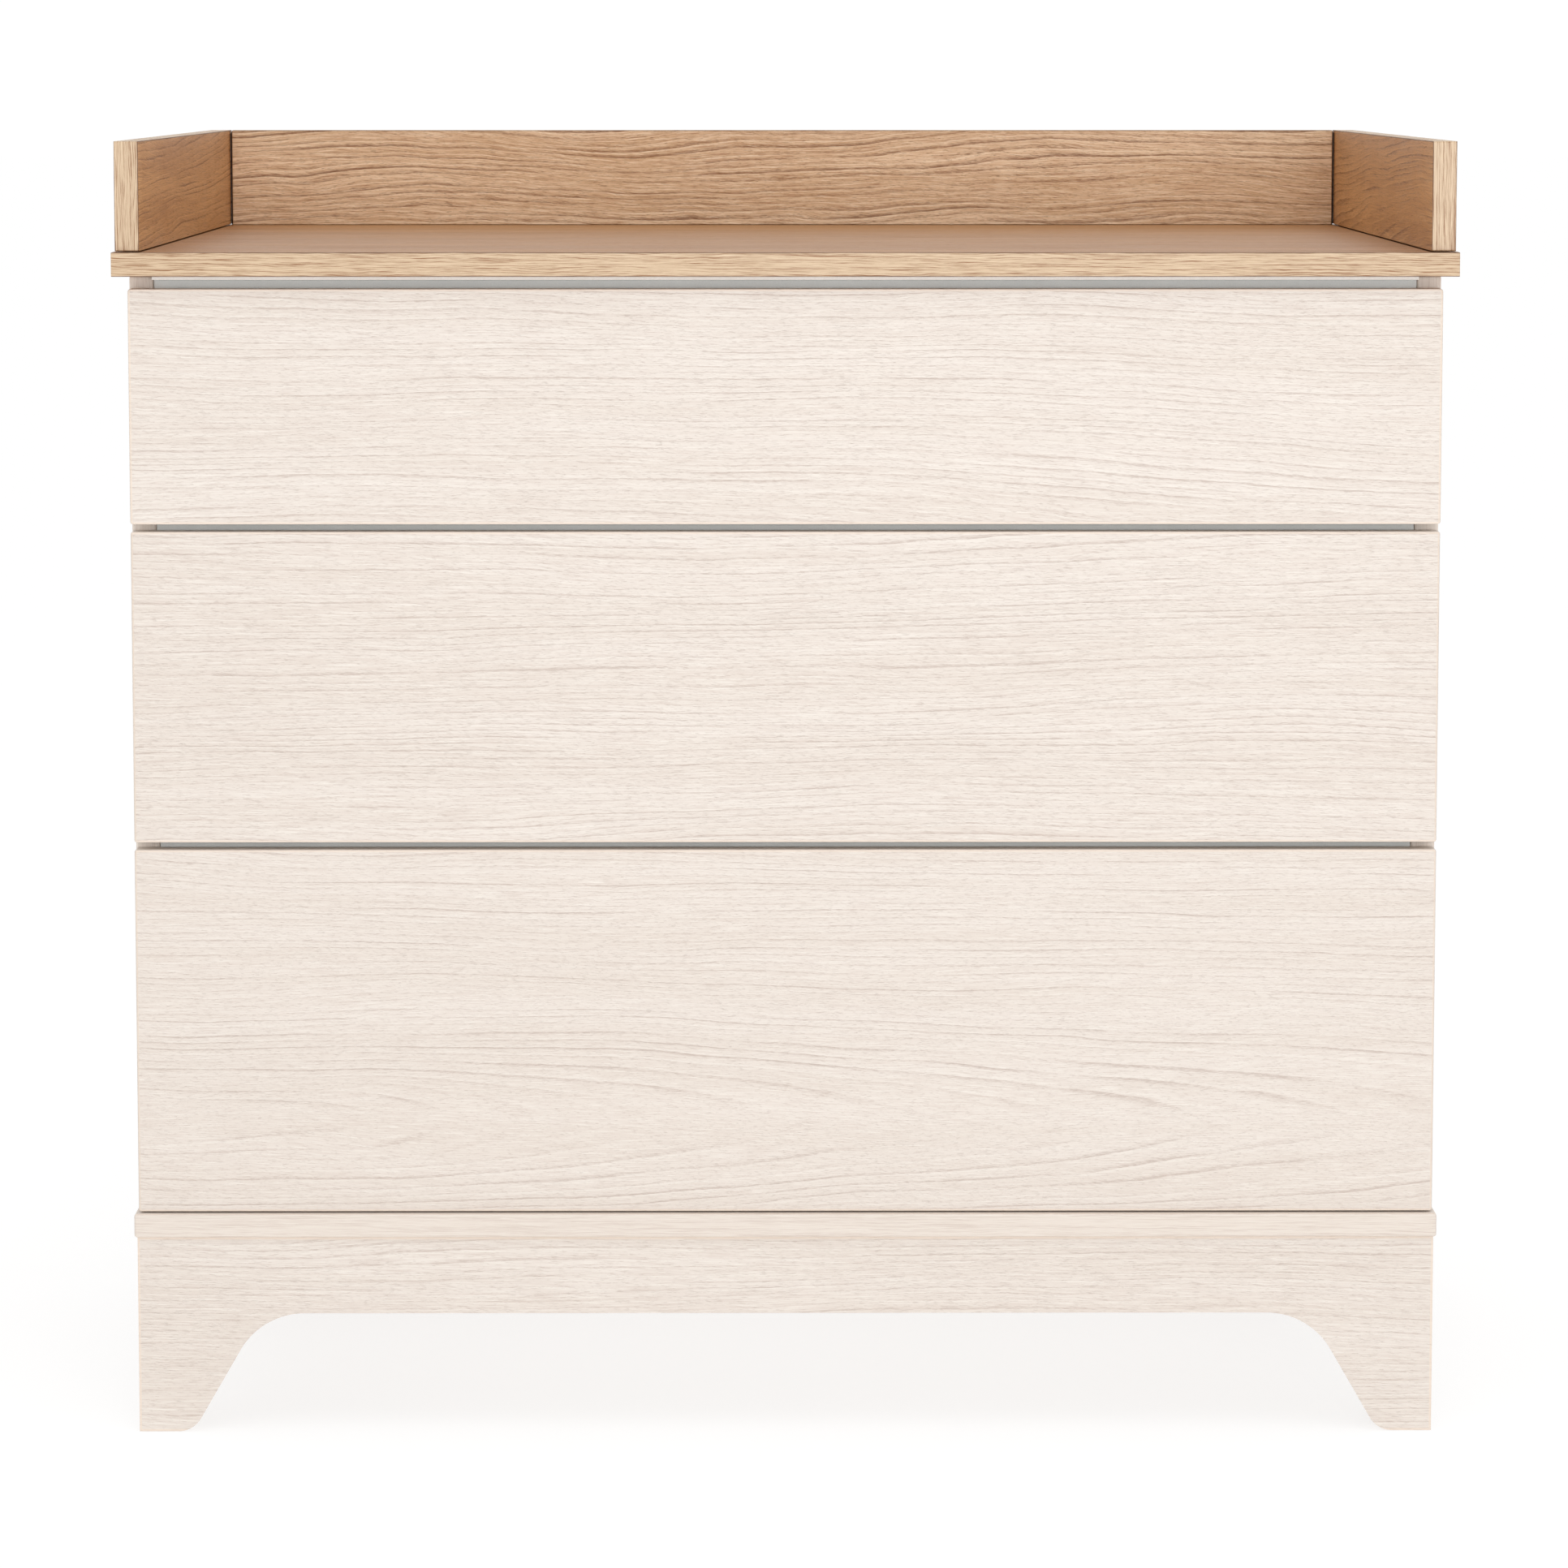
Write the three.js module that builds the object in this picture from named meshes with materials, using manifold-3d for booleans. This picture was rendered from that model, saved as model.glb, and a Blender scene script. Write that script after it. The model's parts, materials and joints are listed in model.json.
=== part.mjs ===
// Changing table: a three-drawer dresser on an arched plinth, with a changing top that has three low
// walls. Millimetres, +Z up, the front faces -Y. The origin is on the floor, at the middle of the
// changing board's outline.
import * as THREE from 'three';
import { mergeVertices } from 'three/addons/utils/BufferGeometryUtils.js';
import Module from 'manifold-3d';

const wasm = await Module();
wasm.setup();

// ---- Driving dimensions ----
const WIDTH = 1000;
const DEPTH = 740;
const HEIGHT = 975;
const BOARD = 18; // every laminated board
const THIN_BOARD = 3; // dust top, back panel, drawer bottoms
const SEAM = 0.3; // left between two pieces that are fixed together
const ROD_SIDES = 16;

const BOARD_TOP = 893; // where the changing mat lies
const WALL_INSET = 2.5; // tray walls, from the board's ends
const WALL_SETBACK = 4.5; // tray walls, from the board's front edge
const WALL_REAR_INSET = 3.5; // tray walls, from the board's rear edge
const WALL_LIFT = 0.8; // shadow gap under the side walls
const WALL_REBATE = 0.5; // depth of the shallow rebate that the tray walls stand in
const REBATE_MARGIN = 0.4; // how far the rebate reaches past the walls
const TONGUE_WIDTH = 8; // under each side wall, standing in the rebate
const TONGUE_INSET = 15; // tongue, from each end of its wall
const WALL_GAP = 1.6; // shadow groove between the back wall and each side wall
const GROOVE_BEHIND = 6; // depth of that groove

const CARCASS_WIDTH = 980;
const CARCASS_BACK = 190;
const FRONT_FACE = -360; // drawer fronts
const FRONT_WIDTH = 978;
const PRESS_GAP = 3; // behind the drawer fronts, for the push latches
const BASE_WIDTH = 984;
const BASE_FRONT = -365;
const BASE_TOP = 168;
const PLINTH_FRONT = -361;
const RAIL_DEPTH = 70;
const BACK_PANEL_INSET = 2; // back panel, from the carcass's edges
const DUST_TOP_FRONT = -352; // it stands forward of the top rail

const ARCH_HEIGHT = 91;
const ARCH_END = 126; // from the plinth's corner to where the arch's flat top starts
const ARCH_RADIUS = 56.5;
const ARCH_TURN = Math.PI / 3; // from the flat top down to the foot's slope
const FOOT_RADIUS = 19.5;

// One entry per drawer: its front's lowest and highest point, its box, and its slides' centre line.
const DRAWERS = {
  top: { front: [690, 865.5], box: [706, 822], slide: 764 },
  middle: { front: [450.5, 684.5], box: [468, 642], slide: 555 },
  bottom: { front: [169, 445], box: [184, 400], slide: 292 },
};
const BOX_DEPTH = 480;
const BOX_SIDE = 12; // thickness of a drawer box's sides and back
const SLIDE_SPACE = 12.9; // between a drawer box and a side panel
const GROOVE_DEPTH = 6;
const GROOVE_HEIGHT = 12; // under the drawer's bottom

const SLIDE_SETBACK = 4; // slides, from the carcass's front
const SLIDE_LENGTH = 450;
const SLIDE_HEIGHT = 45;
const SLIDE_SHEET = 1.2;
const BALL = 2.6; // the balls' space between two members' flanges

const LATCH_SETBACK = 1; // latch housings, from the carcass's front
const LATCH_LENGTH = 80;
const LATCH_WIDTH = 15;
const PLUNGER_RADIUS = 3.5;
const PLUNGER_LENGTH = 58;
const PLUNGER_STOP = 4; // bore left free behind the plunger

const SCREW_X = 380;
const SCREW_RADIUS = 2.2;
const SCREW_LENGTH = 36;
const SCREW_POINT = 4;
const SCREW_HEAD_RADIUS = 4.5;
const SCREW_HEAD_HEIGHT = 3;
const SCREW_BITE = 14; // depth of the blind hole in the changing board

const BRACKET_X = 300;
const BRACKET_HOLE_RADIUS = 2.5;
const BRACKET_WIDTH = 40;
const BRACKET_LEG = 40;
const BRACKET_SHEET = 2;

// ---- Heights and places that follow ----
const FRONT_BACK = FRONT_FACE + BOARD;
const CARCASS_FRONT = FRONT_BACK + PRESS_GAP;
const BOARD_UNDERSIDE = BOARD_TOP - BOARD;
const CARCASS_TOP = BOARD_UNDERSIDE - SEAM;
const DUST_TOP_UNDERSIDE = BOARD_UNDERSIDE - THIN_BOARD;
const TOP_RAIL_TOP = DUST_TOP_UNDERSIDE - SEAM;
const BASE_UNDERSIDE = BASE_TOP - BOARD;
const PLINTH_TOP = BASE_UNDERSIDE - SEAM;
const CARCASS_REAR_EDGE = CARCASS_BACK - THIN_BOARD - SEAM;
const INNER_HALF = CARCASS_WIDTH / 2 - BOARD; // side panels' inner faces
const BOX_HALF = INNER_HALF - SLIDE_SPACE; // drawer boxes' outer faces
const BOX_FRONT = FRONT_BACK + SEAM;
const BOX_REAR = FRONT_BACK + BOX_DEPTH;
const SCREW_Y = CARCASS_REAR_EDGE - RAIL_DEPTH / 2;
const WALL_FOOT = BOARD_TOP - WALL_REBATE + SEAM;

// The front rails' tops. The lower two rails are centred on the gap between two fronts.
const middleOfGap = (above, below) => (DRAWERS[above].front[0] + DRAWERS[below].front[1]) / 2;
const RAIL_TOPS = {
  top: TOP_RAIL_TOP,
  middle: middleOfGap('top', 'middle') + BOARD / 2,
  lower: middleOfGap('middle', 'bottom') + BOARD / 2,
};
const RAIL_OVER_DRAWER = { top: 'top', middle: 'middle', bottom: 'lower' };

// ---- Finishes ----
const finish = (color, roughness, metalness = 0) => ({ color, roughness, metalness });
const WHITE_LAMINATE = finish(0xf1e7dc, 0.5);
const OAK_LAMINATE = finish(0xc49b76, 0.45);
const GREY_RAIL = finish(0xafaeaa, 0.6);
const WHITE_HARDBOARD = finish(0xf2efe9, 0.6);
const BOX_WHITE = finish(0xf0ede7, 0.55);
const ZINC = finish(0xb9bcc0, 0.35, 1);
const GREY_PLASTIC = finish(0x8d9092, 0.5);
const WHITE_PLASTIC = finish(0xe9e9e6, 0.4);

const model = new THREE.Group();

// Adds a mesh of its own material, with its geometry's origin at (x, y, z).
function place(name, geometry, look, [x, y, z] = [0, 0, 0], parent = model) {
  const mesh = new THREE.Mesh(geometry, new THREE.MeshStandardMaterial(look));
  mesh.name = name;
  mesh.position.set(x, y, z);
  parent.add(mesh);
  return mesh;
}

// The size and middle of the space between two corners.
function span(low, high) {
  const size = high.map((value, axis) => value - low[axis]);
  const middle = high.map((value, axis) => (value + low[axis]) / 2);
  return { size, middle };
}

// A board from its lowest and highest corner.
function board(name, low, high, look, parent = model) {
  const { size, middle } = span(low, high);
  return place(name, new THREE.BoxGeometry(...size), look, middle, parent);
}

// ---- Cutting ----
function toSolid(geometry) {
  const bare = new THREE.BufferGeometry();
  bare.setAttribute('position', geometry.getAttribute('position'));
  bare.setIndex(geometry.getIndex());
  const merged = mergeVertices(bare, 1e-4);
  const vertProperties = new Float32Array(merged.getAttribute('position').array);
  const triVerts = new Uint32Array(merged.getIndex().array);
  return new wasm.Manifold(new wasm.Mesh({ numProp: 3, vertProperties, triVerts }));
}

function toGeometry(solid) {
  const { vertProperties, triVerts } = solid.getMesh();
  const geometry = new THREE.BufferGeometry();
  geometry.setAttribute('position', new THREE.BufferAttribute(vertProperties, 3));
  geometry.setIndex(new THREE.BufferAttribute(triVerts, 1));
  return geometry;
}

function join(geometry, other) {
  return toGeometry(toSolid(geometry).add(toSolid(other)));
}

// geometry with each tool taken away.
function cut(geometry, ...tools) {
  const solid = tools.reduce((left, tool) => left.subtract(toSolid(tool)), toSolid(geometry));
  return toGeometry(solid);
}

function boxBetween(low, high) {
  const { size, middle } = span(low, high);
  return new THREE.BoxGeometry(...size).translate(...middle);
}

// A rod along Z, from z = low to z = high, at (x, y).
function uprightRod(radius, low, high, x = 0, y = 0) {
  const rod = new THREE.CylinderGeometry(radius, radius, high - low, ROD_SIDES);
  return rod.rotateX(Math.PI / 2).translate(x, y, (low + high) / 2);
}

// A rod along Y, from y = low to y = high, at (x, z).
function lyingRod(radius, low, high, x = 0, z = 0) {
  const rod = new THREE.CylinderGeometry(radius, radius, high - low, ROD_SIDES);
  return rod.translate(x, (low + high) / 2, z);
}

// ---- Plinth ----
// The face of a plinth board that is halfLength long each way from its middle: an arch with a flat
// top, a round shoulder, a sloping flank and a rounded foot at each end. The arch is set out from
// the plinth's corner, which lies cornerHalf from the middle.
function archedFace(halfLength, cornerHalf) {
  const flatEnd = cornerHalf - ARCH_END;
  const shoulderLevel = ARCH_HEIGHT - ARCH_RADIUS;
  const flankX = flatEnd + ARCH_RADIUS * Math.sin(ARCH_TURN);
  const flankZ = shoulderLevel + ARCH_RADIUS * Math.cos(ARCH_TURN);
  const toeX = flankX + flankZ / Math.tan(ARCH_TURN); // where the flank's line meets the floor
  const footX = toeX + FOOT_RADIUS * Math.tan(ARCH_TURN / 2);
  const up = Math.PI / 2;
  const down = -Math.PI / 2;

  const face = new THREE.Shape();
  face.moveTo(-halfLength, PLINTH_TOP);
  face.lineTo(-halfLength, 0);
  face.lineTo(-footX, 0);
  face.absarc(-footX, FOOT_RADIUS, FOOT_RADIUS, down, down + ARCH_TURN, false);
  face.absarc(-flatEnd, shoulderLevel, ARCH_RADIUS, up + ARCH_TURN, up, true);
  face.absarc(flatEnd, shoulderLevel, ARCH_RADIUS, up, up - ARCH_TURN, true);
  face.absarc(footX, FOOT_RADIUS, FOOT_RADIUS, down - ARCH_TURN, down, false);
  face.lineTo(halfLength, 0);
  face.lineTo(halfLength, PLINTH_TOP);
  face.closePath();
  return face;
}

function addPlinth() {
  const cornerX = CARCASS_WIDTH / 2;
  const cornerY = (CARCASS_REAR_EDGE - PLINTH_FRONT) / 2;
  const middleY = (CARCASS_REAR_EDGE + PLINTH_FRONT) / 2;
  const settings = { depth: BOARD, bevelEnabled: false, curveSegments: 12 };

  // An extrusion's face lies in XY, so each board is stood up before it is placed.
  const long = new THREE.ExtrudeGeometry(archedFace(cornerX, cornerX), settings).rotateX(Math.PI / 2);
  place('plinth_front', long, WHITE_LAMINATE, [0, PLINTH_FRONT + BOARD, 0]);
  place('plinth_back', long.clone(), WHITE_LAMINATE, [0, CARCASS_REAR_EDGE, 0]);

  const sideHalf = cornerY - BOARD - SEAM;
  const side = new THREE.ExtrudeGeometry(archedFace(sideHalf, cornerY), settings);
  side.rotateX(Math.PI / 2).rotateZ(Math.PI / 2);
  place('plinth_left', side, WHITE_LAMINATE, [-cornerX, middleY, 0]);
  place('plinth_right', side.clone(), WHITE_LAMINATE, [cornerX - BOARD, middleY, 0]);

  board(
    'base_board',
    [-BASE_WIDTH / 2, BASE_FRONT, BASE_UNDERSIDE],
    [BASE_WIDTH / 2, CARCASS_BACK, BASE_TOP],
    WHITE_LAMINATE,
  );
}

// ---- Carcass ----
// What a tray screw's hole takes away from a board between two heights.
const screwHoles = (low, high) =>
  [-SCREW_X, SCREW_X].map((x) => uprightRod(SCREW_RADIUS + SEAM, low, high, x, SCREW_Y));

function addCarcass() {
  const outer = CARCASS_WIDTH / 2;
  const sideLow = BASE_TOP + SEAM;
  board('side_panel_left', [-outer, CARCASS_FRONT, sideLow],
    [-INNER_HALF, CARCASS_REAR_EDGE, CARCASS_TOP], WHITE_LAMINATE);
  board('side_panel_right', [INNER_HALF, CARCASS_FRONT, sideLow],
    [outer, CARCASS_REAR_EDGE, CARCASS_TOP], WHITE_LAMINATE);

  const back = CARCASS_BACK - THIN_BOARD;
  board('back_panel', [-outer + BACK_PANEL_INSET, back, sideLow + BACK_PANEL_INSET],
    [outer - BACK_PANEL_INSET, CARCASS_BACK, CARCASS_TOP - BACK_PANEL_INSET], WHITE_HARDBOARD);

  const reach = INNER_HALF - SEAM;
  const front = CARCASS_FRONT;
  const rear = CARCASS_REAR_EDGE;
  const railUnderside = TOP_RAIL_TOP - BOARD;
  const holes = screwHoles(railUnderside - 1, CARCASS_TOP + 1);

  const dustTop = boxBetween(
    [-reach, DUST_TOP_FRONT, DUST_TOP_UNDERSIDE],
    [reach, rear, CARCASS_TOP],
  );
  place('top_panel', cut(dustTop, ...holes), WHITE_HARDBOARD);
  const railRear = boxBetween([-reach, rear - RAIL_DEPTH, railUnderside], [reach, rear, TOP_RAIL_TOP]);
  place('rail_rear', cut(railRear, ...holes), WHITE_LAMINATE);

  for (const [name, top] of Object.entries(RAIL_TOPS)) {
    board(`rail_${name}`, [-reach, front, top - BOARD], [reach, front + RAIL_DEPTH, top], GREY_RAIL);
  }
}

// ---- Changing top ----
// A side wall, lifted off the board: a tongue under it carries it and leaves a shadow gap round it.
function sideWall(x0, x1, front, rear) {
  const x = (x0 + x1) / 2;
  const wall = boxBetween([x0, front, BOARD_TOP + WALL_LIFT], [x1, rear, HEIGHT]);
  const tongue = boxBetween(
    [x - TONGUE_WIDTH / 2, front + TONGUE_INSET, WALL_FOOT],
    [x + TONGUE_WIDTH / 2, rear - TONGUE_INSET, BOARD_TOP + WALL_LIFT + 1],
  );
  return join(wall, tongue);
}

// The back wall stands on the board. A tongue at each end closes the groove beside the side wall.
function backWall(half, rear) {
  const front = rear - BOARD;
  const wall = boxBetween([WALL_GAP - half, front, WALL_FOOT], [half - WALL_GAP, rear, HEIGHT]);
  const tongues = boxBetween(
    [SEAM - half, front + GROOVE_BEHIND, WALL_FOOT],
    [half - SEAM, rear - GROOVE_BEHIND, HEIGHT - WALL_GAP],
  );
  return join(wall, tongues);
}

function addTray() {
  const outer = WIDTH / 2 - WALL_INSET;
  const inner = outer - BOARD;
  const front = -DEPTH / 2 + WALL_SETBACK;
  const rear = DEPTH / 2 - WALL_REAR_INSET;
  const rebate = (x0, y0, x1, y1) => boxBetween(
    [x0 - REBATE_MARGIN, y0 - REBATE_MARGIN, BOARD_TOP - WALL_REBATE],
    [x1 + REBATE_MARGIN, y1 + REBATE_MARGIN, BOARD_TOP + 1],
  );
  const slab = cut(
    boxBetween([-WIDTH / 2, -DEPTH / 2, BOARD_UNDERSIDE], [WIDTH / 2, DEPTH / 2, BOARD_TOP]),
    ...screwHoles(BOARD_UNDERSIDE - 1, BOARD_UNDERSIDE + SCREW_BITE),
    rebate(-outer, front, -inner, rear),
    rebate(inner, front, outer, rear),
    rebate(-inner, rear - BOARD, inner, rear),
  );
  place('changing_board', slab, OAK_LAMINATE);

  place('tray_wall_left', sideWall(-outer, -inner, front, rear), OAK_LAMINATE);
  place('tray_wall_right', sideWall(inner, outer, front, rear), OAK_LAMINATE);
  place('tray_wall_back', backWall(inner, rear), OAK_LAMINATE);
}

// A countersunk screw driven up through the rear rail and the dust top into the changing board.
function addTrayScrews() {
  const headTop = TOP_RAIL_TOP - BOARD - SEAM;
  const profile = [
    [0, 0],
    [SCREW_HEAD_RADIUS, 0],
    [SCREW_HEAD_RADIUS, SCREW_HEAD_HEIGHT / 3],
    [SCREW_RADIUS, SCREW_HEAD_HEIGHT],
    [SCREW_RADIUS, SCREW_LENGTH - SCREW_POINT],
    [0, SCREW_LENGTH],
  ].map(([radius, height]) => new THREE.Vector2(radius, height));
  const screw = new THREE.LatheGeometry(profile, ROD_SIDES).rotateX(Math.PI / 2);
  for (const [side, x] of [['left', -SCREW_X], ['right', SCREW_X]]) {
    place(`tray_screw_${side}`, screw.clone(), ZINC, [x, SCREW_Y, headTop - SCREW_HEAD_HEIGHT]);
  }
}

// An angle bracket under the board's rear edge, with two screw holes in each leg.
function addWallBrackets() {
  const rear = DEPTH / 2;
  const top = BOARD_UNDERSIDE - SEAM;
  const holeX = BRACKET_WIDTH / 4;
  const legMiddle = BRACKET_LEG / 2 + BRACKET_SHEET;

  const profile = new THREE.Shape();
  profile.moveTo(0, 0);
  profile.lineTo(-BRACKET_LEG, 0);
  profile.lineTo(-BRACKET_LEG, -BRACKET_SHEET);
  profile.lineTo(-BRACKET_SHEET, -BRACKET_SHEET);
  profile.lineTo(-BRACKET_SHEET, -BRACKET_LEG);
  profile.lineTo(0, -BRACKET_LEG);
  profile.closePath();
  const angle = new THREE.ExtrudeGeometry(profile, { depth: BRACKET_WIDTH, bevelEnabled: false });
  angle.rotateX(Math.PI / 2).rotateZ(Math.PI / 2).translate(-BRACKET_WIDTH / 2, 0, 0);

  const holes = [-holeX, holeX].flatMap((x) => [
    uprightRod(BRACKET_HOLE_RADIUS, -BRACKET_SHEET - 1, 1, x, -legMiddle),
    lyingRod(BRACKET_HOLE_RADIUS, -BRACKET_SHEET - 1, 1, x, -legMiddle),
  ]);
  const bracket = cut(angle, ...holes);
  place('wall_bracket_left', bracket, ZINC, [-BRACKET_X, rear, top]);
  place('wall_bracket_right', bracket.clone(), ZINC, [BRACKET_X, rear, top]);
}

// ---- Drawers ----
function addDrawerBox(name, { front, box }, parent) {
  const [low, high] = box;
  const bottomLow = low + GROOVE_HEIGHT;
  const bottomHigh = bottomLow + THIN_BOARD;
  const grooveLow = bottomLow - SEAM;
  const grooveHigh = bottomHigh + SEAM;
  const innerHalf = BOX_HALF - BOX_SIDE;
  const half = FRONT_WIDTH / 2;

  // The front, with a stopped groove that takes the bottom's front edge.
  const face = cut(
    boxBetween([-half, FRONT_FACE, front[0]], [half, FRONT_BACK, front[1]]),
    boxBetween(
      [-innerHalf - GROOVE_DEPTH, FRONT_BACK - GROOVE_DEPTH, grooveLow],
      [innerHalf + GROOVE_DEPTH, FRONT_BACK + 1, grooveHigh],
    ),
  );
  place(`drawer_${name}_front`, face, WHITE_LAMINATE, [0, 0, 0], parent);

  for (const [side, sign] of [['left', -1], ['right', 1]]) {
    const edges = [sign * innerHalf, sign * BOX_HALF].sort((a, b) => a - b);
    const groove = [sign * (innerHalf + GROOVE_DEPTH), sign * (innerHalf - 1)].sort((a, b) => a - b);
    const wall = cut(
      boxBetween([edges[0], BOX_FRONT, low], [edges[1], BOX_REAR, high]),
      boxBetween([groove[0], BOX_FRONT - 1, grooveLow], [groove[1], BOX_REAR + 1, grooveHigh]),
    );
    place(`drawer_${name}_side_${side}`, wall, BOX_WHITE, [0, 0, 0], parent);
  }

  // The back stands on the bottom, which runs under it.
  board(`drawer_${name}_back`,
    [-innerHalf + SEAM, BOX_REAR - BOX_SIDE, grooveHigh],
    [innerHalf - SEAM, BOX_REAR, high], BOX_WHITE, parent);
  const bottomHalf = innerHalf + GROOVE_DEPTH - SEAM;
  board(`drawer_${name}_bottom`,
    [-bottomHalf, FRONT_BACK - GROOVE_DEPTH + SEAM, bottomLow],
    [bottomHalf, BOX_REAR, bottomHigh], WHITE_HARDBOARD, parent);
}

// ---- Slides ----
// A channel's section: its web runs up at distance web from the side panel, and its two flanges
// reach from there to distance lip.
function channelSection(web, lip, halfHeight) {
  const towards = Math.sign(lip - web);
  const inside = web + towards * SLIDE_SHEET;
  const flange = halfHeight - SLIDE_SHEET;
  const section = new THREE.Shape();
  section.moveTo(web, -halfHeight);
  section.lineTo(lip, -halfHeight);
  section.lineTo(lip, -flange);
  section.lineTo(inside, -flange);
  section.lineTo(inside, flange);
  section.lineTo(lip, flange);
  section.lineTo(lip, halfHeight);
  section.lineTo(web, halfHeight);
  section.closePath();
  return section;
}

// Each member's section: the web's and lips' distances from the side panel, and half its height.
const slideHalf = SLIDE_HEIGHT / 2;
const MEMBERS = {
  cabinet: channelSection(SEAM, 9.8, slideHalf),
  middle: channelSection(2.8, 10.6, slideHalf - SLIDE_SHEET - BALL),
  drawer: channelSection(SLIDE_SPACE - SEAM, 5.2, slideHalf - 2 * (SLIDE_SHEET + BALL)),
};

function addSlides(name, level, parents) {
  const start = CARCASS_FRONT + SLIDE_SETBACK;
  for (const [member, section] of Object.entries(MEMBERS)) {
    const settings = { depth: SLIDE_LENGTH, bevelEnabled: false };
    // The section's X becomes the way in from the side panel, and its Y the height.
    const rail = new THREE.ExtrudeGeometry(section, settings).rotateX(Math.PI / 2);
    rail.translate(0, SLIDE_LENGTH, 0);
    const mirrored = rail.clone().rotateZ(Math.PI).translate(0, SLIDE_LENGTH, 0);
    place(`slide_${name}_${member}_left`, rail, ZINC, [-INNER_HALF, start, level], parents[member]);
    place(`slide_${name}_${member}_right`, mirrored, ZINC, [INNER_HALF, start, level],
      parents[member]);
  }
}

// ---- Push latches ----
// A housing under the rail, with a blind bore in its front end, and the plunger in it.
function addLatch(name, railUnderside, parents) {
  const housingFront = CARCASS_FRONT + LATCH_SETBACK;
  const top = railUnderside - SEAM;
  const axis = top - LATCH_WIDTH / 2;
  const bore = PLUNGER_RADIUS + SEAM;
  const tip = FRONT_BACK + SEAM;
  const housing = cut(
    boxBetween([-LATCH_WIDTH / 2, housingFront, top - LATCH_WIDTH],
      [LATCH_WIDTH / 2, housingFront + LATCH_LENGTH, top]),
    lyingRod(bore, housingFront - 1, tip + PLUNGER_LENGTH + PLUNGER_STOP, 0, axis),
  );
  place(`latch_${name}_housing`, housing, GREY_PLASTIC, [0, 0, 0], parents.carcass);
  const plunger = lyingRod(PLUNGER_RADIUS, tip, tip + PLUNGER_LENGTH, 0, axis);
  place(`latch_${name}_plunger`, plunger, WHITE_PLASTIC, [0, 0, 0], parents.plunger);
}

addPlinth();
addCarcass();
addTray();
addTrayScrews();
addWallBrackets();
for (const [name, drawer] of Object.entries(DRAWERS)) {
  const [box, middles, plunger] = [new THREE.Group(), new THREE.Group(), new THREE.Group()];
  model.add(box, middles, plunger);
  addDrawerBox(name, drawer, box);
  addSlides(name, drawer.slide, { cabinet: model, middle: middles, drawer: box });
  addLatch(name, RAIL_TOPS[RAIL_OVER_DRAWER[name]] - BOARD, { carcass: model, plunger });
}

export default model;
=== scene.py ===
import json
import math

import bmesh
import bpy
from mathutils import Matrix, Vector


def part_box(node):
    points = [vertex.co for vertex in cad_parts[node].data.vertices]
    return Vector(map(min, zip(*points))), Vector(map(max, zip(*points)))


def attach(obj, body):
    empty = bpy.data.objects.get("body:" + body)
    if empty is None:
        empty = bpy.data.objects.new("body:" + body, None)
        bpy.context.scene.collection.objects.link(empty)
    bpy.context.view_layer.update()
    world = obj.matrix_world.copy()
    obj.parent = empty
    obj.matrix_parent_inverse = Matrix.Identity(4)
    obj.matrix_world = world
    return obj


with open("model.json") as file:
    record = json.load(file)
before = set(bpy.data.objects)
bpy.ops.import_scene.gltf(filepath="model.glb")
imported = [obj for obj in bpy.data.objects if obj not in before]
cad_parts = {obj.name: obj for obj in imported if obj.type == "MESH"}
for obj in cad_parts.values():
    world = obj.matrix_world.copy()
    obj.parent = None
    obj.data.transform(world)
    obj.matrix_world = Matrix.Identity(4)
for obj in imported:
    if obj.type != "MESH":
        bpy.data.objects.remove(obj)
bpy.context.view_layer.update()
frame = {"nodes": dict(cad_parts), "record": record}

MM = 0.001
DRAWERS = ("top", "middle", "bottom")
SIDES = {"left": -1, "right": 1}
X, Y, Z = 0, 1, 2


# ---------------------------------------------------------------- node graphs
class Val:
    """A node socket that arithmetic builds further nodes on."""

    def __init__(self, graph, socket):
        self.graph, self.socket = graph, socket

    def __add__(self, other):
        return self.graph.math("ADD", self, other)

    def __sub__(self, other):
        return self.graph.math("SUBTRACT", self, other)

    def __rsub__(self, other):
        return self.graph.math("SUBTRACT", other, self)

    def __mul__(self, other):
        return self.graph.math("MULTIPLY", self, other)

    def __truediv__(self, other):
        return self.graph.math("DIVIDE", self, other)

    __radd__, __rmul__ = __add__, __mul__


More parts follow.
